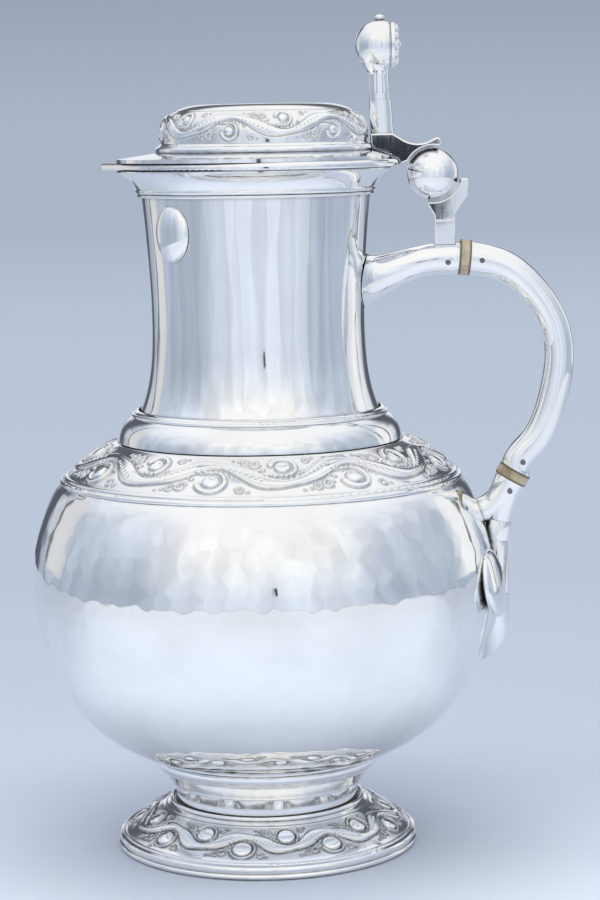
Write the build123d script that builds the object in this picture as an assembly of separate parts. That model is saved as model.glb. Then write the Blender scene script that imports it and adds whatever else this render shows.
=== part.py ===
from build123d import *
import os
from math import cos, sin, radians, sqrt

# Silver water pitcher with a hinged lid.
# Millimetres. Z is up, the vessel stands on Z = 0 round the Z axis.
# The handle points to +X and the pouring side to -X.

# Foot
foot_radius = 56.0
foot_rim_width = 4.0
foot_rim_height = 5.6
waist_radius = 35.2
waist_bottom = 16.6
waist_top = 23.6

# Body and neck
body_bottom = 33.8
body_height = 118.0
body_radius = 85.4
neck_radius = 39.4
neck_height = 98.6
sheet = 1.1

# Lid
lid_gap = 0.3
lid_plate = 2.6
dome_height = 23.3
dome_offset = 3.2
bezel_clearance = 0.8

# Hinge and thumbpiece
ball_radius = 9.4
saddle_gap = 0.9
arm_width = 10.0
knuckle_width = 3.2
knuckle_gap = 0.3
pin_radius = 1.6
pin_running_fit = 0.05
thumb_height = 54.3

# Handle
grip_reach = 25.6
tube_radius = 6.2
tube_wall = 1.2
insulator_width = 4.3
insulator_proud = 0.3

# Heights and places that follow from the sizes above
collar_z = body_bottom + body_height
mouth_z = collar_z + neck_height
lid_z = mouth_z + lid_gap
widest_z = body_bottom + 0.5614 * body_height
neck_foot_z = collar_z + 3.7
neck_top_z = mouth_z - 5.6
neck_foot_radius = neck_radius + 5.2
neck_top_radius = neck_radius + 2.6
flange_radius = neck_radius + 11.2
hinge_x = neck_radius + 25.1
hinge_z = lid_z - 3.2
plate_top = lid_z + lid_plate
saddle_radius = ball_radius + saddle_gap


def flat(x, z):
    """A point in the upright plane through the handle."""
    return Vector(x, 0, z)


def outline(start, *steps):
    """A closed face; a step is an end point, or an arc given as (through point, end point)."""
    edges = []
    here = start
    for step in steps + (start,):
        if isinstance(step[0], tuple):
            edges.append(ThreePointArc(flat(*here), flat(*step[0]), flat(*step[1])))
            here = step[1]
        else:
            edges.append(Line(flat(*here), flat(*step)))
            here = step
    return Face(Wire(edges))


def turned(face, x=0.0):
    """A solid of revolution round an upright axis at this x."""
    return revolve(face, Axis((x, 0, 0), (0, 0, 1)), 360)


def prism(face, width):
    """The face in the handle's plane given this width across."""
    return extrude(face, amount=width / 2, dir=(0, 1, 0), both=True)


def tube(stations):
    """A solid through circles; a station is x, z, radius, heading in degrees above +X."""
    rounds = []
    for x, z, radius, heading in stations:
        ahead = (cos(radians(heading)), 0, sin(radians(heading)))
        rounds.append(Plane(origin=(x, 0, z), x_dir=(0, 1, 0), z_dir=ahead) * Circle(radius))
    return loft(rounds)


def body_curve():
    """The body's outside from the middle of its underside up to the shoulder band."""
    shape = [(0.489, 0.0), (0.745, 0.104), (0.889, 0.232), (0.960, 0.370)]
    shape += [(1.0, 0.5614), (0.979, 0.689), (0.918, 0.815), (0.859, 0.882)]
    points = [flat(0, body_bottom - 6.8), flat(0.25 * body_radius, body_bottom - 5.2)]
    points += [flat(r * body_radius, body_bottom + h * body_height) for r, h in shape]
    return Spline(points, tangents=[(1, 0, 0), (-0.62, 0, 0.78)])


def shoulder_curves():
    """The shoulder band, then the flat seat under the neck collar."""
    start = (0.859 * body_radius, body_bottom + 0.882 * body_height)
    end = (neck_foot_radius + 7.9, collar_z)
    middle = ((start[0] + end[0]) / 2 + 0.7, (start[1] + end[1]) / 2 + 1.0)
    band = ThreePointArc(flat(*start), flat(*middle), flat(*end))
    seat = Line(flat(*end), flat(neck_foot_radius, neck_foot_z))
    return band, seat


def body_section():
    """Half the upright section of everything inside the body's outer surface."""
    band, seat = shoulder_curves()
    lid_line = Line(flat(neck_foot_radius, neck_foot_z), flat(0, neck_foot_z))
    axis_line = Line(flat(0, neck_foot_z), flat(0, body_bottom - 6.8))
    return Face(Wire([body_curve(), band, seat, lid_line, axis_line]))


def body_fill():
    """Everything inside the body's outer surface."""
    return turned(body_section())


def band_edge():
    """A plane laid on the body at the lower edge of the shoulder band, its x running up the band."""
    band, seat = shoulder_curves()
    upward = band % 0
    return Plane(origin=band @ 0, x_dir=upward, z_dir=(0, 1, 0))


def wire_bed():
    """The shallow channel that the shoulder wire is let into, open outwards."""
    return band_edge() * Pos(1.1, 0.5) * Rectangle(3.9, 2.0)


def body_bowl():
    """The raised body, one sheet thick, open where the neck stands and channelled for the shoulder wire."""
    outside = body_curve()
    band, seat = shoulder_curves()
    inside = []
    for curve, count in ((outside, 26), (band, 4)):
        for i in range(count):
            t = (i + 0.5) / count
            p = curve @ t
            d = curve % t
            inside.append(flat(p.X - d.Z * sheet, p.Z + d.X * sheet))
    mouth = neck_foot_radius - sheet
    low = flat(0, body_bottom - 6.8 + sheet)
    inner = Spline([low] + inside + [flat(mouth, neck_foot_z - 1.6)], tangents=[(1, 0, 0), (-0.8, 0, 0.6)])
    edges = [outside, band, seat]
    edges.append(Line(flat(neck_foot_radius, neck_foot_z), flat(mouth, neck_foot_z)))
    edges.append(Line(flat(mouth, neck_foot_z), flat(mouth, neck_foot_z - 1.6)))
    edges.append(inner)
    edges.append(Line(low, flat(0, body_bottom - 6.8)))
    return turned((Face(Wire(edges)) - wire_bed()).face())


def neck_curve(inset=0.0):
    """The neck's slightly waisted outside between its collar and the mouth moulding."""
    rise = neck_top_z - 4.0 - (collar_z + 11.6)
    low = collar_z + 11.6
    points = [(5.2, 0.0), (2.0, 0.115), (0.1, 0.33), (0.3, 0.58), (1.5, 0.82), (2.6, 1.0)]
    line = [flat(neck_radius + r - inset, low + h * rise) for r, h in points]
    return Spline(line, tangents=[(-0.75, 0, 0.66), (0.1, 0, 0.99)])


def neck_tube():
    """The open neck, one sheet thick, standing on the body's rim."""
    outside = neck_curve()
    inside = neck_curve(sheet)
    edges = [Line(flat(neck_foot_radius, neck_foot_z), outside @ 0), outside]
    edges.append(Line(outside @ 1, flat(neck_top_radius, neck_top_z)))
    edges.append(Line(flat(neck_top_radius, neck_top_z), flat(neck_top_radius - sheet, neck_top_z)))
    edges.append(Line(flat(neck_top_radius - sheet, neck_top_z), inside @ 1))
    edges.append(inside)
    edges.append(Line(inside @ 0, flat(neck_foot_radius - sheet, neck_foot_z)))
    edges.append(Line(flat(neck_foot_radius - sheet, neck_foot_z), flat(neck_foot_radius, neck_foot_z)))
    return turned(Face(Wire(edges)))


def neck_fill():
    """Everything inside the neck's outer surface."""
    outside = neck_curve()
    edges = [Line(flat(0, neck_foot_z), flat(neck_foot_radius, neck_foot_z))]
    edges += [Line(flat(neck_foot_radius, neck_foot_z), outside @ 0), outside]
    edges += [Line(outside @ 1, flat(neck_top_radius, neck_top_z))]
    edges += [Line(flat(neck_top_radius, neck_top_z), flat(0, neck_top_z))]
    edges += [Line(flat(0, neck_top_z), flat(0, neck_foot_z))]
    return turned(Face(Wire(edges)))


def reed(radius, z, size):
    """A round wire lying as a ring."""
    return Pos(0, 0, z) * Torus(radius, size)


def foot_flange():
    """The spreading foot that carries the lowest chased band."""
    inner = waist_radius - sheet
    edge = foot_radius - foot_rim_width + 0.6
    middle = (waist_radius + edge) / 2
    rise = waist_bottom - 1.0 - foot_rim_height
    crown = foot_rim_height + 0.61 * rise
    return turned(outline(
        (inner, waist_bottom), (waist_radius, waist_bottom), (waist_radius + 1.2, waist_bottom - 1.0),
        ((middle, crown), (edge, foot_rim_height)), (edge - 0.7, foot_rim_height - 1.1),
        ((middle - 0.7, crown - 1.2), (waist_radius + 0.6, waist_bottom - 2.3)), (inner, waist_bottom - 1.6)))


def foot_rim():
    """The stepped base moulding that the pitcher stands on."""
    r = foot_radius
    h = foot_rim_height
    edge = foot_radius - foot_rim_width + 0.6
    return turned(outline(
        (r - foot_rim_width, 0), (r - 0.5, 0), ((r, 0.9), (r - 0.4, 1.9)), (r - 0.9, 2.2),
        ((r - 0.4, 3.3), (r - 0.9, h - 1.0)), (r - 1.9, h - 0.5), ((r - 2.5, h + 0.2), (r - 3.1, h - 0.1)),
        (edge, h), (edge - 0.7, h - 1.1)))


def foot_waist():
    """The short upright stem between foot and body."""
    inner = waist_radius - sheet
    return turned(outline(
        (inner, waist_bottom), (waist_radius, waist_bottom), (waist_radius, waist_top), (inner, waist_top)))


def foot_collar(fill):
    """The moulded ring under the body."""
    top = 0.489 * body_radius
    r = waist_radius
    span = top - r
    rise = body_bottom - waist_top
    face = outline(
        (r - sheet, waist_top), (r, waist_top), (r + 0.6, waist_top + 0.4),
        ((r + 0.38 * span, waist_top + 0.30 * rise), (r + 0.72 * span, waist_top + 0.54 * rise)),
        (r + 0.78 * span, waist_top + 0.63 * rise), ((top - 0.1, waist_top + 0.74 * rise), (top + 0.1, body_bottom)),
        (top - 2.0, body_bottom + 2.0), (top - 3.6, body_bottom + 1.0), (r + 0.45 * span, body_bottom - 2.4),
        (r - sheet, waist_top + 2.4))
    return turned(face) - fill


def neck_collar(fill):
    """The swelling collar over the joint of neck and body, with two reeds on top."""
    r = neck_foot_radius
    z = collar_z
    swell = outline(
        (r, z - 0.7), (r + 7.6, z - 0.7), (r + 7.5, z + 0.9), ((r + 6.1, z + 5.4), (r + 1.9, z + 9.6)),
        (r, z + 9.8))
    crown = outline((r, z + 9.0), (r + 1.4, z + 9.0), ((r + 1.7, z + 10.4), (r + 0.9, z + 11.2)), (r, z + 11.4))
    hollow = outline((r, z - 3.0), (r + 5.6, z - 3.0), (r + 5.6, z + 1.6), ((r + 4.4, z + 4.4), (r + 1.2, z + 7.2)), (r, z + 7.2))
    return turned(swell) + turned(crown) + reed(r + 1.9, z + 9.8, 0.7) - turned(hollow) - fill


def on_band(up, out):
    """A point in the plane of band_edge."""
    return band_edge().from_local_coords(Vector(up, out, 0))


def shoulder_wire():
    """The double wire along the lower edge of the shoulder band, let into the body."""
    low = ThreePointArc(on_band(-0.85, 0.1), on_band(0.15, 0.75), on_band(1.15, 0.1))
    high = ThreePointArc(on_band(1.45, 0.1), on_band(2.25, 0.48), on_band(3.05, 0.1))
    top_root, low_root = on_band(3.05, -0.5), on_band(-0.85, -0.5)
    edges = [low, Line(low @ 1, high @ 0), high, Line(high @ 1, top_root)]
    edges += [Line(top_root, low_root), Line(low_root, low @ 0)]
    return turned(Face(Wire(edges)))


def mouth_rim():
    """The flared mouth moulding, drawn out a little on the pouring side."""
    r = neck_top_radius
    z = mouth_z
    lip = 1.3
    outer = outline(
        (0, z - 9.6), (r + 1.0, z - 9.6), ((r + 1.6, z - 9.0), (r + 1.0, z - 8.4)),
        ((r + 2.1, z - 7.6), (r + 1.9, z - 6.7)), ((r + 4.0, z - 3.4), (r + 7.4, z - 0.5)),
        (r + 7.4, z), (0, z))
    inner = outline((0, z - 5.6), (r, z - 5.6), ((r + 2.2, z - 2.7), (r + 5.4, z)), (0, z))
    bore = Pos(0, 0, z - 9.6) * Cylinder(r, 8.0, align=(Align.CENTER, Align.CENTER, Align.MIN))
    flare = outline(
        (0, z - 4.4), (r + 1.6, z - 4.4), ((r + 4.2, z - 2.3), (r + 7.2, z - 0.5)), (r + 7.2, z), (0, z))
    hollow = outline((0, z - 3.4), (r + 0.9, z - 3.4), ((r + 2.5, z - 1.9), (r + 5.1, z)), (0, z))
    solid = turned(outer) + Pos(-lip, 0, 0) * turned(flare)
    return solid - turned(inner) - Pos(-lip, 0, 0) * turned(hollow) - bore


def lip_drops(fill):
    """Two smooth oval bosses on the neck, one on each side of the pouring direction."""
    drops = []
    for side in (-1, 1):
        boss = scale(Sphere(1), by=(3.4, 8.0, 10.2))
        boss = Pos(neck_radius + 1.3, 0, mouth_z - 21.8) * boss
        drops.append(Rot(0, 0, 180 - side * 44) * boss)
    return [drop - fill for drop in drops]


def hull_plate(radius, centre, tip, z, thickness, soft):
    """A round plate drawn out to a rounded beak at -X, with softened edges."""
    nose = 4.0
    reach = abs(tip) - nose + centre
    side = sqrt(reach ** 2 - (radius - nose) ** 2)
    lean_c = (radius - nose) / reach
    lean_s = side / reach
    touch = (centre - radius * lean_c, radius * lean_s)
    near = (tip + nose - nose * lean_c, nose * lean_s)
    far = (centre + radius, 0)
    edges = [
        ThreePointArc(touch, far, (touch[0], -touch[1])),
        Line((touch[0], -touch[1]), (near[0], -near[1])),
        ThreePointArc((near[0], -near[1]), (tip, 0), near),
        Line(near, touch),
    ]
    plate = Pos(0, 0, z) * extrude(Face(Wire(edges)), amount=thickness, dir=(0, 0, 1))
    faces = plate.faces().sort_by(Axis.Z)
    plate = fillet(faces[-1].edges(), soft)
    return fillet(plate.faces().sort_by(Axis.Z)[0].edges(), 0.4 * soft)


def lid_flange():
    """The lid's lower plate with the beak over the pouring side."""
    bore = neck_top_radius - sheet - bezel_clearance
    plate = hull_plate(flange_radius, 1.8, -(neck_radius + 17.1), lid_z, lid_plate, 1.5)
    return plate - Pos(0, 0, lid_z - 5) * Cylinder(bore, 20)


def lid_bezel():
    """The short tube under the lid that drops into the neck."""
    outer = neck_top_radius - sheet - bezel_clearance
    return turned(outline(
        (outer - 1.0, mouth_z - 8.6), (outer - 0.3, mouth_z - 8.6), (outer, mouth_z - 7.8),
        (outer, plate_top), (outer - 1.0, plate_top)))


def lid_step():
    """The sloping upper plate between flange and dome."""
    dome_radius = neck_radius - 1.8
    low = Plane.XY.offset(plate_top + 1.3) * Pos(-0.7, 0) * Circle(neck_radius + 10.5)
    high = Plane.XY.offset(plate_top + 3.3) * Pos(dome_offset, 0) * Circle(dome_radius + 1.9)
    base = Pos(-0.7, 0, plate_top) * Cylinder(neck_radius + 10.5, 1.3, align=(Align.CENTER, Align.CENTER, Align.MIN))
    bore = Pos(dome_offset, 0, plate_top) * Cylinder(dome_radius - 1.2, 20)
    under = Pos(-0.7, 0, plate_top) * Cylinder(neck_radius + 8.9, 2.4)
    inner_seat = Pos(dome_offset, 0, plate_top) * Cylinder(dome_radius + 0.6, 8)
    return (base + loft([low, high])) - (under - inner_seat) - bore


def lid_ring():
    """The round moulding at the foot of the dome."""
    r = neck_radius - 1.8
    z = plate_top + 3.3
    return turned(outline(
        (dome_offset + r - 1.2, z), (dome_offset + r + 1.6, z),
        ((dome_offset + r + 1.9, z + 1.2), (dome_offset + r + 0.7, z + 2.4)),
        (dome_offset + r + 0.1, z + 3.2), (dome_offset + r - 1.2, z + 3.2)), dome_offset)


def dome_outline(inset):
    """The dome's outside, or its inside when inset by the sheet."""
    r = neck_radius - 1.8 - inset
    low = plate_top + 6.5
    top = lid_z + dome_height - inset
    c = dome_offset
    side = Line(flat(c + r, low), flat(c + r, top - 11.0))
    turn = ThreePointArc(side @ 1, flat(c + r - 0.9, top - 7.1), flat(c + r - 4.9, top - 3.0))
    shoulder = ThreePointArc(turn @ 1, flat(c + r - 9.4, top - 1.1), flat(c + r - 14.8, top - 0.3))
    crown = Spline([shoulder @ 1, flat(c, top)], tangents=[shoulder % 1, (-1, 0, 0)])
    return side, turn, shoulder, crown


def lid_dome():
    """The lid's dome with its chased upright band."""
    outer = dome_outline(0)
    inner = dome_outline(sheet)
    top = Line(outer[-1] @ 1, inner[-1] @ 1)
    foot = Line(inner[0] @ 0, outer[0] @ 0)
    return turned(Face(Wire(list(outer) + [top] + list(inner) + [foot])), dome_offset)


def hinge_cut(radius, width):
    """A round bar along the hinge pin."""
    return Pos(hinge_x, 0, hinge_z) * Rot(90, 0, 0) * Cylinder(radius, width)


def around(degrees_up, radius):
    """A point round the hinge, its angle counted from +X upwards."""
    a = radians(degrees_up)
    return (hinge_x + radius * cos(a), hinge_z + radius * sin(a))


def hinge_arm(lid):
    """The arm from the lid to the hinge, its end cupped round the ball."""
    h = hinge_x
    v = hinge_z
    face = outline(
        (h - 22.6, v + 14.8), (h - 14.5, v + 14.8), (h - 11.7, v + 13.1), ((h - 6.8, v + 11.1), (h - 2.0, v + 11.5)),
        (h + 1.6, v + 13.2), ((h + 2.4, v + 12.9), around(78, saddle_radius)),
        (around(115, saddle_radius), around(152, saddle_radius)), (h - 12.5, v + 3.5), (h - 20.4, v + 5.0),
        (h - 22.4, v + 9.5))
    arm = prism(face, arm_width)
    for piece in lid:
        arm = arm - piece
    return arm


def knuckle(low, high, web_from, web_to):
    """One slice of the hinge ball with a web reaching out to the saddle."""
    width = high - low
    slab = Pos(hinge_x, (low + high) / 2, hinge_z) * Box(60, width, 60)
    ball = (Pos(hinge_x, 0, hinge_z) * Rot(90, 0, 0) * Sphere(ball_radius)) & slab
    middle = (web_from + web_to) / 2
    wedge = outline(
        (hinge_x, hinge_z), around(web_from, saddle_radius),
        (around(middle, saddle_radius), around(web_to, saddle_radius)))
    web = prism(wedge, 40) & slab
    return ball + web


def lid_knuckle():
    """The middle knuckle, which turns with the lid."""
    half = knuckle_width / 2
    return knuckle(-half, half, 88, 148) - hinge_cut(pin_radius + pin_running_fit, 60)


def post_knuckles():
    """The two outer knuckles, which stand on the post."""
    low = knuckle_width / 2 + knuckle_gap
    pair = []
    for side in (-1, 1):
        near, far = sorted((side * low, side * (low + 2.4)))
        pair.append(knuckle(near, far, -98, -20) - hinge_cut(pin_radius, 60))
    return pair


def hinge_pin():
    """The pin through the knuckles and into both ball caps."""
    return hinge_cut(pin_radius, 2 * (knuckle_width / 2 + knuckle_gap + 2.4) + 4.4)


def hinge_ball(side):
    """A domed cap on one end of the pin."""
    start = knuckle_width / 2 + knuckle_gap + 2.4 + 0.1
    slab = Pos(hinge_x, side * (start + 10), hinge_z) * Box(60, 20, 60)
    ball = Pos(hinge_x, 0, hinge_z) * Rot(90, 0, 0) * Sphere(ball_radius)
    return (ball & slab) - hinge_pin()


def hinge_post(socket):
    """The post on the handle's upper socket, its top cupped under the ball."""
    h = hinge_x
    v = hinge_z
    face = outline(
        (h + 0.3, v - 28), (h + 8.0, v - 28), (h + 8.0, v - 14.6), (h + 10.3, v - 10.8), (h + 12.6, v - 8.0),
        (h + 13.0, v - 2.4), (h + 12.4, v - 1.8), around(-10, saddle_radius),
        (around(-56, saddle_radius), around(-102, saddle_radius)), (h - 1.8, v - 11.6), (h + 0.3, v - 15.0))
    width = arm_width - 0.4
    post = prism(face, width)
    for side in (-1, 1):
        waste = Pos(h + 4, side * (0.33 * width + 5), v - 28) * Box(20, 10, 2 * (28 - 17))
        post -= waste
    return post - socket


def upper_joint():
    """Middle of the upper insulator and the handle's heading there."""
    return hinge_x + 11.4, hinge_z - 30.65, -5.0


def lower_joint():
    """Middle of the lower insulator and the handle's heading there."""
    return body_radius + 7.65, widest_z + 36.45, 240.0


def along(joint, distance):
    """A point on the handle's centre line, this far beyond the middle of an insulator."""
    x, z, heading = joint
    a = radians(heading)
    return x + distance * cos(a), z + distance * sin(a)


def upper_socket(fill):
    """The trumpet-shaped arm soldered to the neck."""
    n = neck_radius
    v = hinge_z
    end = along(upper_joint(), -insulator_width / 2)
    h = hinge_x
    stations = [
        (n - 5.0, v - 38.2, 13.5, 5), (n + 0.6, v - 37.2, 9.8, 8), (n + 4.4, v - 36.8, 7.8, 12),
        (n + 8.2, v - 35.6, 6.9, 17), (n + 13.2, v - 33.8, 6.2, 16), (h - 4.8, v - 31.8, 5.8, 10),
        (h + 2.6, v - 30.9, 5.9, 1), (end[0], end[1], tube_radius, -5)]
    return tube(stations) - fill


def grip_path():
    """The centre line of the grip between the two insulators."""
    start = along(upper_joint(), insulator_width / 2)
    end = along(lower_joint(), -insulator_width / 2)
    points = [flat(*start)]
    for down, out in ((0.046, 0.477), (0.161, 0.816), (0.345, 1.0), (0.530, 0.912), (0.797, 0.520)):
        x = start[0] + down * (end[0] - start[0]) + out * grip_reach
        points.append(flat(x, start[1] + down * (end[1] - start[1])))
    points.append(flat(*end))
    first = radians(upper_joint()[2])
    last = radians(lower_joint()[2])
    return Spline(points, tangents=[(cos(first), 0, sin(first)), (cos(last), 0, sin(last))])


def handle_grip(pins):
    """The hollow curved grip, slimmer round the bend than at its ends."""
    path = grip_path()
    outer = []
    inner = []
    slimming = (0.0, 0.35, 0.75, 0.95, 0.9, 0.8, 0.75, 0.7, 0.55, 0.25)
    for i, slim in enumerate(slimming):
        t = i / (len(slimming) - 1)
        here = Plane(origin=path @ t, x_dir=(0, 1, 0), z_dir=path % t)
        radius = tube_radius - slim
        outer.append(here * Circle(radius))
        inner.append(here * Circle(radius - tube_wall))
    return loft(outer) - loft(inner) - pins


def spool(joint, radius, pins):
    """An insulating disc with a tenon on each side."""
    x, z, heading = joint
    ahead = (cos(radians(heading)), 0, sin(radians(heading)))
    here = Plane(origin=(x, 0, z), x_dir=(0, 1, 0), z_dir=ahead)
    disc = here * Cylinder(radius, insulator_width)
    disc = fillet(disc.edges().filter_by(GeomType.CIRCLE), 0.4)
    tenon = here * Cylinder(radius - 3.1, insulator_width + 17.0)
    return disc + tenon - pins


def pin_bars():
    """The four silver pins through tubes and tenons."""
    bars = []
    places = ((upper_joint(), -6.2, -2.0), (upper_joint(), 6.1, -0.4), (lower_joint(), -6.1, 0.3), (lower_joint(), 5.6, 1.4))
    for joint, distance, across in places:
        x, z = along(joint, distance)
        turn = radians(joint[2] + 90)
        x += across * cos(turn)
        z += across * sin(turn)
        bars.append(Pos(x, 0, z) * Rot(90, 0, 0) * Cylinder(0.95, 2 * tube_radius + 0.4))
    return bars


def lower_socket(fill):
    """The lower arm, turned in to the body with a stem running on down."""
    w = widest_z
    b = body_radius
    end = along(lower_joint(), insulator_width / 2)
    root = tube([
        (end[0], end[1], tube_radius - 0.35, 240), (b + 3.2, w + 28.9, 5.3, 228),
        (b - 0.4, w + 25.3, 4.9, 212), (b - 9.0, w + 22.0, 4.9, 198)])
    stem = tube([
        (b + 5.7, w + 32.8, 5.4, 241), (b + 4.5, w + 29.2, 5.1, 249),
        (b + 3.3, w + 24.8, 4.8, 256), (b + 2.6, w + 19.5, 4.3, 259)])
    return root + stem - fill


def terminal_cuff(fill, socket):
    """The plain band below the lower arm, held just off the body."""
    w = widest_z
    b = body_radius
    top = (b + 2.6, w + 19.5, 4.6, 259)
    band = tube([top, (b + 2.1, w + 15.9, 4.9, 262), (b + 1.6, w + 12.3, 4.6, 265)])
    return band - scale(fill, by=(1.001, 1.001, 1.0)) - socket


def terminal_calyx(fill):
    """The tapering sheath under the cuff, grooved on both flanks."""
    w = widest_z
    b = body_radius
    sheath = tube([
        (b + 1.6, w + 12.3, 4.1, 265), (b + 2.3, w + 4.0, 3.8, 270), (b + 3.0, w - 4.0, 3.2, 270),
        (b + 3.4, w - 14.0, 2.9, 270)])
    for side in (-1, 1):
        groove = Pos(b + 4.2, side * 3.9, w + 2.4) * Rot(0, 2, 0) * Box(1.1, 3.4, 14.0)
        sheath = sheath - groove
    return sheath - fill


def terminal_tip(fill, others):
    """The keeled leaf tip below the lobes, standing just clear of the body."""
    w = widest_z
    b = body_radius
    cuts = []
    shape = [(-8.0, 0.6, 5.7, 10.0), (-17.5, 0.0, 6.2, 9.0), (-26.0, -2.6, 4.5, 5.5), (-32.8, -4.4, -2.6, 1.2)]
    for z, edge, ridge, half in shape:
        left = (b + edge, -half, w + z)
        right = (b + edge, half, w + z)
        arc = ThreePointArc(left, (b + ridge, 0, w + z), right)
        cuts.append(Face(Wire([arc, Line(right, left)])))
    tip = loft(cuts) - fill
    for other in others:
        tip = tip - other
    return tip


def terminal_lobes(fill, others):
    """The two rounded leaf lobes that lie on the body beside the stem."""
    lobes = []
    for side in (-1, 1):
        lobe = Rot(0, -11, 0) * scale(Sphere(1), by=(3.5, 14.5, 12.6))
        lobe = Rot(0, 0, side * 13.5) * Pos(body_radius + 0.9, 0, widest_z - 0.4) * lobe
        half = Pos(body_radius, side * 50, widest_z) * Box(200, 100, 200)
        lobe = (lobe & half) - fill
        for other in others:
            lobe = lobe - other
        lobes.append(lobe)
    return lobes


def thumb_place():
    """The x of the thumbpiece's stem and the height of the arm it stands on."""
    return hinge_x - 18.9, hinge_z + 14.8


def oval_post(stations):
    """An upright solid through ovals; a station is x, z, half length, half width."""
    return loft([Plane.XY.offset(z) * Pos(x, 0) * Ellipse(a, b) for x, z, a, b in stations])


def bud_height():
    """The height of the bud's middle."""
    return lid_z + thumb_height - 10.8


def thumb_sleeve():
    """The plain lower sheath of the thumbpiece."""
    x, z = thumb_place()
    return oval_post([(x + 0.7, z, 4.2, 3.9), (x + 0.1, z + 12.2, 4.0, 3.6)])


def thumb_stem(bud):
    """The fluted upper stem, widening into the bud."""
    x, z = thumb_place()
    top = bud_height() - 10.6
    stem = oval_post([(x, z + 12.2, 3.7, 3.4), (x - 0.3, top, 3.5, 3.2)])
    stem += oval_post([(x - 0.3, top, 3.5, 3.2), (x - 1.1, top + 2.8, 4.4, 4.6), (x - 2.2, top + 5.6, 4.4, 5.6)])
    for i in range(8):
        a = radians(45 * i + 22.5)
        flute = Pos(x + 4.2 * cos(a), 3.9 * sin(a), z + 18.6) * Cylinder(0.9, 8.0)
        stem = stem - flute
    return stem - bud - thumb_band()


def thumb_bud():
    """The round bud whose open side faces the handle."""
    x, z = thumb_place()
    m = bud_height()
    points = [flat(x - 8.8, m), flat(x - 7.6, m + 4.4), flat(x - 4.4, m + 7.7), flat(x, m + 8.9)]
    points.append(flat(x + 3.4, m + 8.4))
    back = Spline(points, tangents=[(0, 0, 1), (0.95, 0, -0.3)])
    edges = [back, Line(back @ 1, flat(x + 3.4, m)), Line(flat(x + 3.4, m), flat(x - 8.8, m))]
    return revolve(Face(Wire(edges)), Axis((0, 0, m), (1, 0, 0)), 360)


def facing_disc(x, radius, thickness):
    """A round plate square to X at the bud's height."""
    disc = Pos(x + thickness / 2, 0, bud_height()) * Rot(0, 90, 0) * Cylinder(radius, thickness)
    return disc


def thumb_band():
    """The sunk ring between bud and disc."""
    return facing_disc(thumb_place()[0] + 3.4, 7.6, 0.6)


def thumb_disc():
    """The plate that carries the rosette."""
    disc = facing_disc(thumb_place()[0] + 4.0, 8.2, 1.8)
    return fillet(disc.edges().filter_by(GeomType.CIRCLE), 0.6)


def thumb_rosette():
    """Twelve small petals and a centre knob on the disc."""
    x = thumb_place()[0] + 5.8
    behind = Pos(x - 10, 0, bud_height()) * Box(20, 40, 40)
    pieces = []
    for i in range(12):
        a = radians(30 * i)
        petal = Pos(x, 6.1 * sin(a), bud_height() + 6.1 * cos(a)) * Sphere(1.45)
        pieces.append(petal - behind)
    pieces.append((Pos(x, 0, bud_height()) * Sphere(2.4)) - behind)
    return pieces


def thumb_bead(bud):
    """The small button on top of the bud."""
    x = thumb_place()[0] + 0.3
    top = lid_z + thumb_height
    button = turned(outline(
        (x, top - 3.2), (x + 1.3, top - 3.2), (x + 1.3, top - 2.1), ((x + 2.0, top - 1.2), (x + 1.3, top - 0.2)),
        (x + 0.8, top), (x, top)), x)
    return button - bud


def save(name, shape):
    """Write one piece, or several loose ones together, to its file."""
    if isinstance(shape, list):
        solids = []
        for one in shape:
            solids += list(one.solids())
        shape = Compound(children=solids) if len(solids) > 1 else solids[0]
    export_step(shape, "parts/" + name + ".step")


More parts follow.
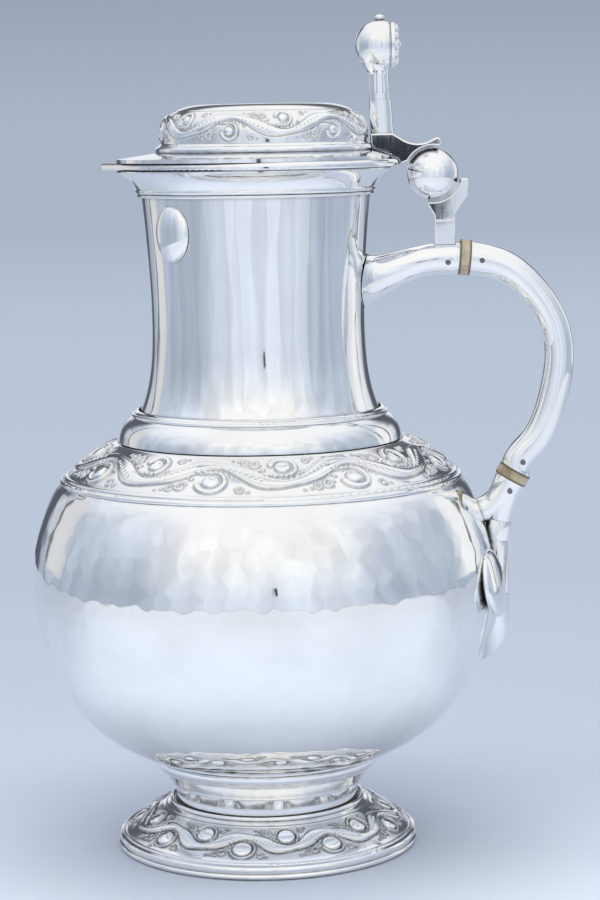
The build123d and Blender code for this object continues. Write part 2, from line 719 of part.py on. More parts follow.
def main():
    os.makedirs("parts", exist_ok=True)
    body = body_fill()
    neck = neck_fill()
    bars = pin_bars()
    pins = bars[0] + bars[1] + bars[2] + bars[3]

    # Foot, body and neck
    flange = foot_flange()
    waist = foot_waist()
    save("foot_rim", foot_rim())
    save("foot_flange", flange)
    save("foot_waist", waist)
    save("waist_wire", reed(waist_radius + 0.45, waist_bottom + 0.2, 0.7) - flange - waist)
    save("foot_collar", foot_collar(body))
    save("body_bowl", body_bowl())
    save("shoulder_wire", shoulder_wire())
    save("neck_tube", neck_tube())
    save("neck_collar", neck_collar(body))
    save("mouth_rim", mouth_rim())
    save("lip_drops", lip_drops(neck))

    # Lid
    plate = lid_flange()
    step = lid_step()
    ring = lid_ring()
    dome = lid_dome()
    arm = hinge_arm([plate, step, ring, dome])
    save("lid_flange", plate)
    save("lid_bezel", lid_bezel())
    save("lid_step", step)
    save("lid_ring", ring)
    save("lid_dome", dome)
    save("hinge_arm", arm)
    save("lid_knuckle", lid_knuckle())

    # Thumbpiece
    bud = thumb_bud()
    save("thumb_sleeve", thumb_sleeve())
    save("thumb_stem", thumb_stem(bud))
    save("thumb_bud", bud)
    save("thumb_band", thumb_band())
    save("thumb_disc", thumb_disc())
    save("thumb_rosette", thumb_rosette())
    save("thumb_bead", thumb_bead(bud))

    # Handle and hinge post
    socket = upper_socket(neck)
    save("hinge_post", hinge_post(socket))
    save("post_knuckles", post_knuckles())
    save("hinge_pin", hinge_pin())
    save("hinge_ball_front", hinge_ball(-1))
    save("hinge_ball_back", hinge_ball(1))
    upper = spool(upper_joint(), tube_radius + insulator_proud, pins)
    lower = spool(lower_joint(), tube_radius + insulator_proud - 0.3, pins)
    save("upper_socket", socket - upper - pins)
    save("upper_insulator", upper)
    save("handle_grip", handle_grip(pins) - upper - lower)
    save("lower_insulator", lower)
    root = lower_socket(body) - lower - pins
    save("lower_socket", root)
    save("insulator_pins", bars)

    # Leaf terminal
    calyx = terminal_calyx(body)
    lobes = terminal_lobes(body, [calyx])
    tip = terminal_tip(body, [calyx] + lobes)
    save("terminal_cuff", terminal_cuff(body, root))
    save("terminal_calyx", calyx)
    save("terminal_lobes", lobes)
    save("terminal_tip", tip)


main()
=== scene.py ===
"""Looks for a lidded silver water pitcher: hammered body and neck, three chased bands and two
bone rings in the handle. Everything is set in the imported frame."""
import math

import bmesh
import bpy
import numpy as np
from mathutils import Matrix, Vector


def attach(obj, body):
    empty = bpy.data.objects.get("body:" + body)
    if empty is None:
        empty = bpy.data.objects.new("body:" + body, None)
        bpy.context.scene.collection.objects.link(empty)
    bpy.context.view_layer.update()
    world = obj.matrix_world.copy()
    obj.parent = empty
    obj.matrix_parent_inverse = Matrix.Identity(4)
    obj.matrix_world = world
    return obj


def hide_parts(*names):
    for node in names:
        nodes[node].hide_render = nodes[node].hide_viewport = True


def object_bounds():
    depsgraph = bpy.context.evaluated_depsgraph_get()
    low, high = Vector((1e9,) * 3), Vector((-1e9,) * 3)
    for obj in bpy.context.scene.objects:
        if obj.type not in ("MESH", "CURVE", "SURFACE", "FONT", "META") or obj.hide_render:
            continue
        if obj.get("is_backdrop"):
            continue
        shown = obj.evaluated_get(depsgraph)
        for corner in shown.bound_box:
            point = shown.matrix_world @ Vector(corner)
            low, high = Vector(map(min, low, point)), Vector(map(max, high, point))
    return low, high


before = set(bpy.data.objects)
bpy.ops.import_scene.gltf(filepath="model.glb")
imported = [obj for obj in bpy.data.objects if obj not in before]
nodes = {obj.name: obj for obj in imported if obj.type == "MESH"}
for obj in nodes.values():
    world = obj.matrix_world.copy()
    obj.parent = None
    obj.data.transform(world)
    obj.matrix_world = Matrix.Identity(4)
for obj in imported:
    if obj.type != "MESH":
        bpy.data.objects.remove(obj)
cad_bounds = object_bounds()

MM = 0.001
TURN = 2 * math.pi
DRAFT = 1

# Sizes in millimetres, as in the solids
FOOT_RADIUS = 56.0
FOOT_RIM_WIDTH = 4.0
FOOT_RIM_HEIGHT = 5.6
WAIST_RADIUS = 35.2
WAIST_BOTTOM = 16.6
WAIST_TOP = 23.6
BODY_BOTTOM = 33.8
BODY_HEIGHT = 118.0
BODY_RADIUS = 85.4
NECK_RADIUS = 39.4
SHEET = 1.1
COLLAR_Z = BODY_BOTTOM + BODY_HEIGHT
MOUTH_Z = COLLAR_Z + 98.6
LID_Z = MOUTH_Z + 0.3
PLATE_TOP = LID_Z + 2.6
DOME_TOP = LID_Z + 23.3
DOME_RADIUS = NECK_RADIUS - 1.8
DOME_OFFSET = 3.2
NECK_FOOT_RADIUS = NECK_RADIUS + 5.2
NECK_FOOT_Z = COLLAR_Z + 3.7
NECK_CURVE_LOW = COLLAR_Z + 11.6
NECK_CURVE_TOP = MOUTH_Z - 9.6
BAND_RADIUS = 0.859 * BODY_RADIUS
BAND_Z = BODY_BOTTOM + 0.882 * BODY_HEIGHT

# Where the ornament starts on each band, as a share of its period
SHOULDER_SHIFT = 0.67
FOOT_SHIFT = 0.48
LID_SHIFT = 0.19

# Columns along one period of a band and rows across it
GRID = (720, 220)
# Half periods in widths of a band: what the small scrolls are spaced for, and where more ticks fit
LONGEST_HALF = 1.7
WIDE_HALF = 1.3
# The lines along a band's borders, as a share of its own lines
BORDER_DEPTH = 0.8
DOTS_ON_STEM = 7


# Paths in the (radius, height) plane


def arc(start, through, end, step=0.25):
    """Points of the circle arc through three points, without the first."""
    (ax, ay), (bx, by), (cx, cy) = start, through, end
    d = 2 * (ax * (by - cy) + bx * (cy - ay) + cx * (ay - by))
    a2, b2, c2 = ax * ax + ay * ay, bx * bx + by * by, cx * cx + cy * cy
    ux = (a2 * (by - cy) + b2 * (cy - ay) + c2 * (ay - by)) / d
    uy = (a2 * (cx - bx) + b2 * (ax - cx) + c2 * (bx - ax)) / d
    r = math.hypot(ax - ux, ay - uy)
    t0 = math.atan2(ay - uy, ax - ux)
    sweep = (math.atan2(cy - uy, cx - ux) - t0) % TURN
    if (math.atan2(by - uy, bx - ux) - t0) % TURN > sweep:
        sweep -= TURN
    n = max(3, int(abs(sweep) * r / step))
    turns = [t0 + sweep * k / n for k in range(1, n + 1)]
    return [(ux + r * math.cos(t), uy + r * math.sin(t)) for t in turns]


def path(start, *steps):
    """Points of an outline; a step is an end point, or an arc as (through point, end point)."""
    out = [start]
    for step in steps:
        if isinstance(step[0], tuple):
            out += arc(out[-1], step[0], step[1])
        else:
            out.append(step)
    return out


def along(points):
    """Distance along a path at each of its points."""
    p = np.asarray(points, float)
    return np.concatenate([[0.0], np.cumsum(np.hypot(*np.diff(p, axis=0).T))])


def respaced(points, step, soft=0.0):
    """The path at even steps, with its corners eased over about the soft distance."""
    p = np.asarray(points, float)
    s = along(p)
    fine = max(8, int(s[-1] / min(step, 0.12)))
    t = np.linspace(0, s[-1], fine + 1)
    q = np.stack([np.interp(t, s, p[:, 0]), np.interp(t, s, p[:, 1])], 1)
    if soft > 0:
        h = s[-1] / fine
        reach = max(1, int(round(2.5 * soft / h)))
        w = np.exp(-0.5 * (np.arange(-reach, reach + 1) * h / soft) ** 2)
        w /= w.sum()
        pad = np.concatenate([2 * q[0] - q[reach:0:-1], q, 2 * q[-1] - q[-2:-reach - 2:-1]])
        q = np.stack([np.convolve(pad[:, k], w, "valid") for k in (0, 1)], 1)
    s = along(q)
    n = max(4, int(round(s[-1] / step)))
    t = np.linspace(0, s[-1], n + 1)
    return np.stack([np.interp(t, s, q[:, 0]), np.interp(t, s, q[:, 1])], 1)


def points_of(mesh):
    """A mesh's points, in metres."""
    co = np.empty(len(mesh.vertices) * 3)
    mesh.vertices.foreach_get("co", co)
    return co.reshape(-1, 3)


def cad_profile(node, centre_z, outside=True):
    """The outer or inner profile of a turned solid, read from its own points and sorted by angle
    about a point on its axis: those angles, and the points as (radius, height)."""
    mesh = nodes[node].data
    co = points_of(mesh) / MM
    normal = np.zeros((len(co), 3))
    for polygon in mesh.polygons:
        for v in polygon.vertices:
            normal[v] += polygon.normal
    r = np.hypot(co[:, 0], co[:, 1])
    z = co[:, 2]
    nr = (normal[:, 0] * co[:, 0] + normal[:, 1] * co[:, 1]) / np.maximum(r, 1e-6)
    lean = nr * r + normal[:, 2] * (z - centre_z)
    keep = lean > 0 if outside else lean < 0
    a = np.arctan2(r[keep], centre_z - z[keep])
    order = np.argsort(a)
    return a[order], np.stack([r[keep], z[keep]], 1)[order]


# Meshes turned about an upright axis


def add_object(name, data):
    obj = bpy.data.objects.new(name, data)
    bpy.context.collection.objects.link(obj)
    return obj


def make_piece(name, verts, faces, material, body, replaced, hollow):
    """A named mesh in metres that rides on a body and stands for CAD nodes. Faces is an array of
    quads or a list of mixed faces, and hollow says for each point how hollow its place is."""
    mesh = bpy.data.meshes.new(name)
    mesh.vertices.add(len(verts))
    mesh.vertices.foreach_set("co", np.asarray(verts, np.float32).ravel())
    if isinstance(faces, list):
        loops = np.concatenate([np.asarray(f, np.int32) for f in faces])
        sizes = np.array([len(f) for f in faces], np.int32)
    else:
        loops = faces.astype(np.int32).ravel()
        sizes = np.full(len(faces), faces.shape[1], np.int32)
    mesh.loops.add(len(loops))
    mesh.loops.foreach_set("vertex_index", loops)
    mesh.polygons.add(len(sizes))
    starts = np.concatenate([[0], np.cumsum(sizes)[:-1]]).astype(np.int32)
    mesh.polygons.foreach_set("loop_start", starts)
    mesh.polygons.foreach_set("use_smooth", np.ones(len(sizes), bool))
    mesh.update(calc_edges=True)
    mesh.validate()
    layer = mesh.attributes.new("hollow", "FLOAT", "POINT")
    layer.data.foreach_set("value", np.asarray(hollow, np.float32).ravel())
    mesh.materials.append(material)
    obj = add_object(name, mesh)
    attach(obj, body)
    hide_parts(*replaced)
    return obj


def turned(name, line, segs, material, body, replaced, centre_x=0.0, push=None, closed=True):
    """A skin turned from a path of (radius, height): a closed ring, or open with both ends on the
    axis. push(angle, distance along, radius) gives the relief outward in mm, and how hollow the
    place is."""
    p = np.asarray(line, float)
    if closed and np.hypot(*(p[0] - p[-1])) < 1e-6:
        p = p[:-1]
    n = len(p)
    back = np.roll(p, 1, 0) if closed else np.vstack([p[0], p[:-1]])
    ahead = np.roll(p, -1, 0) if closed else np.vstack([p[1:], p[-1]])
    t = ahead - back
    t /= np.maximum(np.hypot(t[:, 0], t[:, 1]), 1e-9)[:, None]
    out = np.stack([t[:, 1], -t[:, 0]], 1)
    if not closed:
        out[0] = (0, math.copysign(1, out[0, 1] or out[1, 1]))
        out[-1] = (0, math.copysign(1, out[-1, 1] or out[-2, 1]))
    s = along(p)
    a = (np.arange(segs) + 0.5) * TURN / segs
    A, S = np.meshgrid(a, s, indexing="ij")
    R = np.broadcast_to(p[:, 0], A.shape)
    lift = np.zeros(A.shape)
    hollow = np.zeros(A.shape)
    if push is not None:
        lift, hollow = push(A, S, R)
    r = R + lift * out[:, 0]
    z = p[:, 1] + lift * out[:, 1]
    co = np.stack([centre_x + r * np.cos(A), r * np.sin(A), z], 2) * MM
    if closed:
        index = np.arange(segs * n).reshape(segs, n)
        nxt = np.roll(index, -1, 0)
        up = np.roll(index, -1, 1)
        nxt_up = np.roll(nxt, -1, 1)
        faces = np.stack([index, nxt, nxt_up, up], 2).reshape(-1, 4)
        return make_piece(name, co.reshape(-1, 3), faces, material, body, replaced, hollow)
    inner = n - 2
    index = np.arange(segs * inner).reshape(segs, inner)
    nxt = np.roll(index, -1, 0)
    quads = np.stack([index[:, :-1], nxt[:, :-1], nxt[:, 1:], index[:, 1:]], 2).reshape(-1, 4)
    first, last = segs * inner, segs * inner + 1
    verts = np.vstack([co[:, 1:-1].reshape(-1, 3), co[:, 0].mean(0), co[:, -1].mean(0)])
    faces = quads.tolist()
    faces += [[first, int(nxt[i, 0]), int(index[i, 0])] for i in range(segs)]
    faces += [[last, int(index[i, -1]), int(nxt[i, -1])] for i in range(segs)]
    shade = np.concatenate([hollow[:, 1:-1].ravel(), [0, 0]])
    return make_piece(name, verts, faces, material, body, replaced, shade)


# The chased ornament


def smooth_line(points, steps=12):
    """A smooth line through a few points."""
    p = np.array(points, float)
    p = np.vstack([2 * p[0] - p[1], p, 2 * p[-1] - p[-2]])
    out = []
    for i in range(1, len(p) - 2):
        a, b, c, d = p[i - 1], p[i], p[i + 1], p[i + 2]
        for k in range(steps):
            t = k / steps
            square, cube = 2 * a - 5 * b + 4 * c - d, 3 * b - a - 3 * c + d
            out.append(0.5 * (2 * b + (c - a) * t + square * t * t + cube * t ** 3))
    out.append(p[-2])
    return np.array(out)


def curl(x, y, r0, r1, a0, a1, n=24):
    """A spiral about a point."""
    t = np.linspace(0, 1, n)
    a = np.radians(a0 + (a1 - a0) * t)
    r = r0 + (r1 - r0) * t
    return np.stack([x + r * np.cos(a), y + r * np.sin(a)], 1)


def stem_height(x, swing, half):
    """The height of the running stem's middle across the band."""
    return 0.5 + swing * np.cos(math.pi * x / half)


class Relief:
    """Raised figures and the lines cut round them, on a grid over one period of a band. Lengths
    are in widths of the band: half is half a period, and fine is how wide a cut line is."""

    def __init__(self, half, fine):
        xs = np.arange(GRID[0]) / GRID[0] * 2 * half
        ys = (np.arange(GRID[1]) + 0.5) / GRID[1]
        self.half, self.fine = half, fine
        self.x, self.y = np.meshgrid((xs + half) % (2 * half) - half, ys)
        self.raised = np.zeros_like(self.x)
        self.cut = np.zeros_like(self.x)

    def put(self, window, lift, cut):
        """Lay a figure over what is there already: the higher and the deeper count."""
        self.raised[window] = np.maximum(self.raised[window], lift)
        self.cut[window] = np.maximum(self.cut[window], cut)

    def near(self, low, high):
        """The part of the grid between two corners."""
        cols = np.where((self.x[0] > low[0]) & (self.x[0] < high[0]))[0]
        rows = np.where((self.y[:, 0] > low[1]) & (self.y[:, 0] < high[1]))[0]
        return np.ix_(rows, cols)

    def bar(self, line, w0, w1, lift, groove=0.55):
        """A round-backed bar along a line, from half-width w0 to w1."""
        line = np.asarray(line)
        window = self.near(line.min(0) - 0.12, line.max(0) + 0.12)
        x, y = self.x[window], self.y[window]
        best = np.full(x.shape, 9.0)
        place = np.zeros(x.shape)
        n = len(line) - 1
        for i in range(n):
            ax, ay = line[i]
            dx, dy = line[i + 1] - line[i]
            t = np.clip(((x - ax) * dx + (y - ay) * dy) / (dx * dx + dy * dy + 1e-12), 0, 1)
            d = np.hypot(x - ax - t * dx, y - ay - t * dy)
            place = np.where(d < best, (i + t) / n, place)
            best = np.minimum(best, d)
        w = w0 + (w1 - w0) * place
        self.put(window, lift * np.sqrt(np.clip(1 - (best / w) ** 2, 0, 1)),
                 groove * np.exp(-((best - w) / self.fine) ** 2))

    def ball(self, x, y, rx, ry, lift, groove=0.6):
        """A round boss."""
        window = self.near((x - rx - 0.08, y - ry - 0.08), (x + rx + 0.08, y + ry + 0.08))
        d = np.hypot((self.x[window] - x) / rx, (self.y[window] - y) / ry)
        edge = (d - 1) * min(rx, ry)
        self.put(window, lift * np.sqrt(np.clip(1 - d ** 2, 0, 1)),
                 groove * np.exp(-(edge / self.fine) ** 2))

    def hang_figures(self, boss):
        """The volute with its boss and the comma scrolls under one crest of the stem."""
        close = self.half / LONGEST_HALF
        gap = 0.030
        x0, y0 = -0.02, 0.325
        w = max(gap, (0.30 - boss - gap) / 2)
        r = boss + gap + w
        lead = [(1.22 * close, 0.26), (0.92 * close, 0.40), (max(0.62 * close, 0.46), 0.49),
                (0.34, 0.56)]
        turn = curl(x0, y0, r, 0.93 * r, 72, 338, 14)
        self.bar(smooth_line(lead + [tuple(at) for at in turn], 6), 0.032, 1.15 * w, 0.85, 0.8)
        self.ball(x0, y0, boss, 0.94 * boss, 1.1, 0.8)
        small = 0.45 + 0.55 * close
        commas = ((0.62 * close + 0.04, 0.19, 0.130 * small), (0.93 * close, 0.145, 0.100 * small))
        for x, y, r in commas:
            self.bar(curl(x, y, r, 0.38 * r, 150, -190), 0.24 * r, 0.38 * r, 5 * r, 0.7)
            self.ball(x + 0.01, y, 0.34 * r, 0.34 * r, 4.5 * r, 0.7)
        back = curl(-0.66 * close - 0.03, 0.13, 0.085 * small, 0.034, 30, 350)
        self.bar(back, 0.020, 0.032, 0.55, 0.7)
        dots = ((-0.50, 0.46, 0.036), (-0.90, 0.09, 0.026), (1.10, 0.11, 0.030),
                (1.26, 0.085, 0.024), (0.46, 0.38, 0.036), (0.56, 0.42, 0.026))
        for x, y, r in dots:
            self.ball(x * close, y, r, r, 0.5, 0.7)

    def cut_ticks(self, swing, count):
        """The row of short strokes under the stem, over the scroll, and the row of dots on it."""
        pace = 0.098
        for k in range(count):
            x = (0.5 - 0.5 * count + k) * pace
            y = float(stem_height(x, swing, self.half)) - 0.145
            slope = -swing * math.pi / self.half * math.sin(math.pi * x / self.half) - 0.8
            across = np.array([-slope, 1.0]) / math.hypot(slope, 1)
            middle, half = np.array([x, y]), 0.046 - 0.003 * k
            self.bar([middle - across * half, middle + across * half], 0.020, 0.014, 1.0, 0.0)
        for k in range(DOTS_ON_STEM):
            x = self.half * (0.30 + 0.075 * k)
            y = float(stem_height(x, swing, self.half)) + 0.035
            self.ball(x, y, 0.021, 0.021, 0.9, 0.0)


def one_period(boss, swing, half, fine):
    """Height and cut of one whole period of a band, as grids with rows across the band."""
    shift = GRID[0] // 2

    def both(grid):
        """A half period's figures under the crests, and the same turned over for the hollows."""
        return np.maximum(grid, np.roll(grid[::-1], shift, 1))

    low = Relief(half, fine)
    low.hang_figures(boss)
    raised, cut = both(low.raised), both(low.cut)
    slope = swing * math.pi / half * np.sin(math.pi * low.x / half)
    d = (low.y - stem_height(low.x, swing, half)) / np.sqrt(1 + slope ** 2)
    w = 0.132 - 0.042 * np.cos(TURN * (low.x / half + 0.12))
    stem = 0.66 * np.sqrt(np.clip(1 - (d / w) ** 4, 0, 1)) + 0.2 * np.clip(1 - (d / w) ** 2, 0, 1)
    edge = 0.9 * np.exp(-((np.abs(d) - w) / (1.1 * fine)) ** 2)
    inner = 0.45 * np.exp(-((d + 0.62 * w) / 0.013) ** 2)
    within = np.abs(d) < w
    raised = np.where(within, stem, raised)
    cut = np.where(within, np.maximum(edge, inner), np.maximum(cut, edge))
    ticks = Relief(half, fine)
    ticks.cut_ticks(swing, 9 if half > WIDE_HALF else 7)
    strokes = both(ticks.raised)
    return raised * (1 - 0.6 * strokes), np.maximum(cut, 0.9 * strokes)


def blur(grid, reach):
    """A small even blur, wrapping round the period."""
    out = grid
    for _ in range(reach):
        out = (np.roll(out, 1, 1) + 2 * out + np.roll(out, -1, 1)) / 4
        up = np.vstack([out[:1], out[:-1]])
        down = np.vstack([out[1:], out[-1:]])
        out = (up + 2 * out + down) / 4
    return out


class Band:
    """A chased band: where it lies along a path and how often it repeats, how high its figures and
    how deep its lines are in mm, its boss and its stem's swing in widths of the band, its mean
    radius, how wide its lines are, and how soiled its ground is."""

    def __init__(self, start, width, repeats, height, depth, shift, boss, swing, radius, fine,
                 soil):
        self.start, self.width, self.repeats = start, width, repeats
        self.height, self.depth, self.shift = height, depth, shift
        self.soil = soil
        raised, cut = one_period(boss, swing, math.pi * radius / repeats / width, fine)
        self.raised, self.cut = blur(raised, 2), blur(cut, 1)

    def sample(self, grid, u, v):
        """The grid's value u periods along the band and v of its width across."""
        gx = (u % 1.0) * GRID[0]
        gy = np.clip(v * GRID[1] - 0.5, 0, GRID[1] - 1.001)
        x0, y0 = np.floor(gx).astype(int), np.floor(gy).astype(int)
        fx, fy = gx - x0, gy - y0
        x1 = (x0 + 1) % GRID[0]
        x0 = x0 % GRID[0]
        top = grid[y0, x0] * (1 - fx) + grid[y0, x1] * fx
        low = grid[y0 + 1, x0] * (1 - fx) + grid[y0 + 1, x1] * fx
        return top * (1 - fy) + low * fy

    def relief(self, angle, s):
        """Relief in mm and hollowness at an angle and a distance along the path."""
        v = (s - self.start) / self.width
        u = self.repeats * (angle / TURN) + self.shift
        wobble = 0.012 * np.sin(3 * angle + 1.0) + 0.010 * np.sin(7 * angle + 2.0)
        inside = (v > 0) & (v < 1)
        w = np.clip(v + wobble, 0.0, 1.0)
        raised = self.sample(self.raised, u, w)
        cut = self.sample(self.cut, u, w)
        fade = np.clip(np.minimum(v, 1 - v) / 0.04, 0, 1)
        lift = self.height * raised * fade - self.depth * cut * fade
        for edge in (-0.02, 1.02, -0.075, 1.075):
            line = np.exp(-((v - edge) / 0.016) ** 2)
            lift = lift - self.depth * BORDER_DEPTH * line
            cut = np.where(inside, cut, 0) + BORDER_DEPTH * line
        ground = np.where(inside, np.clip(0.4 - raised, 0, 1) * self.soil, 0)
        border = -self.depth * BORDER_DEPTH * (cut > 0) * np.clip(cut, 0, 1)
        return np.where(inside, lift, border), np.clip(cut + ground, 0, 1)


# Hammer marks


def hammered(angle, s, r, cell, tall, flatten, radius, tilt, seed):
    """Hammer facets about cell mm wide and tall mm high: relief in mm, never above zero. Flatten
    is the share of the curvature that a blow takes away, and tilt how far in degrees a facet
    leans."""
    draws = np.random.default_rng(seed)
    rows = int(s.max() / tall) + 3
    row = np.floor(s / tall).astype(int)
    rings = np.interp(np.arange(-1, rows + 1) * tall + tall / 2, s[0], r[0])
    counts = np.maximum(6, np.round(TURN * rings / cell).astype(int))
    widest = counts.max()
    jig_x = draws.uniform(-0.38, 0.38, (rows + 2, widest))
    jig_y = draws.uniform(-0.38, 0.38, (rows + 2, widest))
    strength = draws.uniform(0.45, 1.55, (rows + 2, widest))
    lean_x = draws.normal(0, math.radians(tilt), (rows + 2, widest))
    lean_y = draws.normal(0, math.radians(tilt), (rows + 2, widest))
    sink = draws.uniform(-0.35, 0.35, (rows + 2, widest))
    k = flatten / (2 * radius)
    edge = k * cell * cell / 4
    sharp = 1 / (0.14 * edge)
    weight = np.zeros(s.shape)
    for dj in (-1, 0, 1):
        j = np.clip(row + dj + 1, 0, rows + 1)
        m = counts[j]
        f = angle / TURN * m + 0.5 * (j % 2)
        i0 = np.floor(f).astype(int)
        for di in (-1, 0, 1):
            i = (i0 + di) % m
            dx = (f - (i0 + di + 0.5 + jig_x[j, i])) * TURN * r / m
            dy = s - ((j - 1) + 0.5 + jig_y[j, i]) * tall
            h = k * strength[j, i] * (dx * dx + dy * dy * (cell / tall) ** 2) + edge * sink[j, i]
            h += lean_x[j, i] * dx + lean_y[j, i] * dy * cell / tall
            weight += np.exp(-np.clip(h * sharp, -60, 60))
    total = -np.log(weight) / sharp
    return np.minimum(total - np.percentile(total, 99.5), 0)


# Materials


def wire(tree, a, b):
    tree.links.new(a, b)


def new_material(name):
    """A material with its node tree, its shader and the object's own coordinates."""
    material = bpy.data.materials.new(name)
    material.use_nodes = True
    tree = material.node_tree
    shader = tree.nodes["Principled BSDF"]
    place = tree.nodes.new("ShaderNodeTexCoord")
    return material, tree, shader, place.outputs["Object"]


def noise(tree, place, scale, detail, stretch=(1, 1, 1)):
    """Soft noise from 0 to 1; a stretch below 1 draws it out along that axis."""
    mapping = tree.nodes.new("ShaderNodeMapping")
    mapping.inputs["Scale"].default_value = stretch
    wire(tree, place, mapping.inputs["Vector"])
    texture = tree.nodes.new("ShaderNodeTexNoise")
    texture.inputs["Scale"].default_value = scale
    texture.inputs["Detail"].default_value = detail
    texture.inputs["Roughness"].default_value = 0.55
    wire(tree, mapping.outputs["Vector"], texture.inputs["Vector"])
    return texture.outputs["Fac"]


def ramp(tree, value, stops):
    """A colour ramp from (place, colour) stops."""
    node = tree.nodes.new("ShaderNodeValToRGB")
    elements = node.color_ramp.elements
    while len(elements) < len(stops):
        elements.new(0.5)
    for element, (at, color) in zip(elements, stops):
        element.position = at
        element.color = (*color, 1)
    wire(tree, value, node.inputs["Fac"])
    return node.outputs["Color"]


def span(tree, value, low, high, to_low, to_high):
    """A value mapped from one range to another, and held at its ends."""
    node = tree.nodes.new("ShaderNodeMapRange")
    node.inputs["From Min"].default_value = low
    node.inputs["From Max"].default_value = high
    node.inputs["To Min"].default_value = to_low
    node.inputs["To Max"].default_value = to_high
    wire(tree, value, node.inputs["Value"])
    return node.outputs["Result"]


def blend_colors(tree, factor, a, b, kind="MIX"):
    """Two colours blended; each of the three is a socket, or a plain number or colour."""
    node = tree.nodes.new("ShaderNodeMix")
    node.data_type = "RGBA"
    node.blend_type = kind
    sockets = (node.inputs[k] for k in ("Factor", "A", "B"))
    for socket, value in zip(sockets, (factor, a, b)):
        if isinstance(value, bpy.types.NodeSocket):
            wire(tree, value, socket)
        else:
            socket.default_value = value if isinstance(value, float) else (*value, 1)
    return node.outputs["Result"]


def maths(tree, kind, a, b):
    """A sum on two values; each is a socket or a plain number."""
    node = tree.nodes.new("ShaderNodeMath")
    node.operation = kind
    for socket, value in zip(node.inputs, (a, b)):
        if isinstance(value, (int, float)):
            socket.default_value = value
        else:
            wire(tree, value, socket)
    return node.outputs["Value"]


def vector_maths(tree, kind, a, b=None):
    """A vector node on a socket, and on a plain vector where it takes two."""
    node = tree.nodes.new("ShaderNodeVectorMath")
    node.operation = kind
    wire(tree, a, node.inputs[0])
    if b is not None:
        node.inputs[1].default_value = b
    return node


def enclosed(tree, distance, samples=16):
    """How open a place is, from 0 to 1, as far as this distance in metres."""
    node = tree.nodes.new("ShaderNodeAmbientOcclusion")
    node.samples = samples
    node.inputs["Distance"].default_value = distance
    return node.outputs["AO"]


def bump(tree, height, distance, strength=1.0, normal=None):
    """The normal over a height that spans this distance in mm."""
    node = tree.nodes.new("ShaderNodeBump")
    node.inputs["Strength"].default_value = strength
    node.inputs["Distance"].default_value = distance * MM
    wire(tree, height, node.inputs["Height"])
    if normal is not None:
        wire(tree, normal, node.inputs["Normal"])
    return node.outputs["Normal"]


def mix_shaders(tree, factor, a, b):
    node = tree.nodes.new("ShaderNodeMixShader")
    wire(tree, factor, node.inputs["Fac"])
    wire(tree, a, node.inputs[1])
    wire(tree, b, node.inputs[2])
    return node.outputs["Shader"]


# The dark of tarnish in hollows, and of painted shade in crevices
TARNISH_AND_SHADE = (0.10, 0.09, 0.085)
CLEAN_DULL = (0.89, 0.89, 0.885)
CLEAN_BRIGHT = (0.955, 0.955, 0.95)


def silver(name, rough, dents, scratches, patina, crevice=0.0022, closing=0.80, shine=1.0):
    """Polished silver: soft dents and fine polishing lines, this deep in mm, darker tarnish in
    hollows (as much as patina says), and painted shade in crevices narrower than crevice metres."""
    material, tree, shader, place = new_material(name)
    shader.inputs["Metallic"].default_value = 1.0
    cloud = noise(tree, place, 45, 4)
    fine = noise(tree, place, 420, 3)
    smear = noise(tree, place, 900, 2, (1, 1, 0.18))
    attribute = tree.nodes.new("ShaderNodeAttribute")
    attribute.attribute_name = "hollow"
    # Painted shade: darker where crevices close the place in
    closed = span(tree, enclosed(tree, crevice, 6), 0.25, closing, 0.85, 0.0)
    hollow = maths(tree, "MULTIPLY", attribute.outputs["Fac"], patina)
    dark = maths(tree, "MAXIMUM", hollow, closed)
    dark = maths(tree, "MULTIPLY", dark, span(tree, fine, 0.3, 0.7, 0.75, 1.1))
    clean = ramp(tree, cloud, [(0.30, [c * shine for c in CLEAN_DULL]),
                               (0.60, [c * shine for c in CLEAN_BRIGHT])])
    wire(tree, blend_colors(tree, dark, clean, TARNISH_AND_SHADE), shader.inputs["Base Color"])
    gloss = span(tree, smear, 0.3, 0.7, rough * 0.75, rough * 1.4)
    gloss = maths(tree, "ADD", gloss, maths(tree, "MULTIPLY", dark, 0.35))
    wire(tree, gloss, shader.inputs["Roughness"])
    swell = bump(tree, noise(tree, place, 110, 1.5), dents)
    lines = bump(tree, noise(tree, place, 1600, 2, (1, 1, 0.15)), scratches, normal=swell)
    wire(tree, lines, shader.inputs["Normal"])
    return material


# Bone: its three tones, the brown of its grain, and its dark ends, which is also the colour of
# its painted shade
BONE = [(0.30, (0.38, 0.31, 0.20)), (0.50, (0.54, 0.47, 0.33)), (0.70, (0.66, 0.60, 0.47))]
BONE_GRAIN = [(0.35, (0.62, 0.52, 0.40)), (0.55, (1, 1, 1))]
BONE_END = (0.10, 0.065, 0.035)


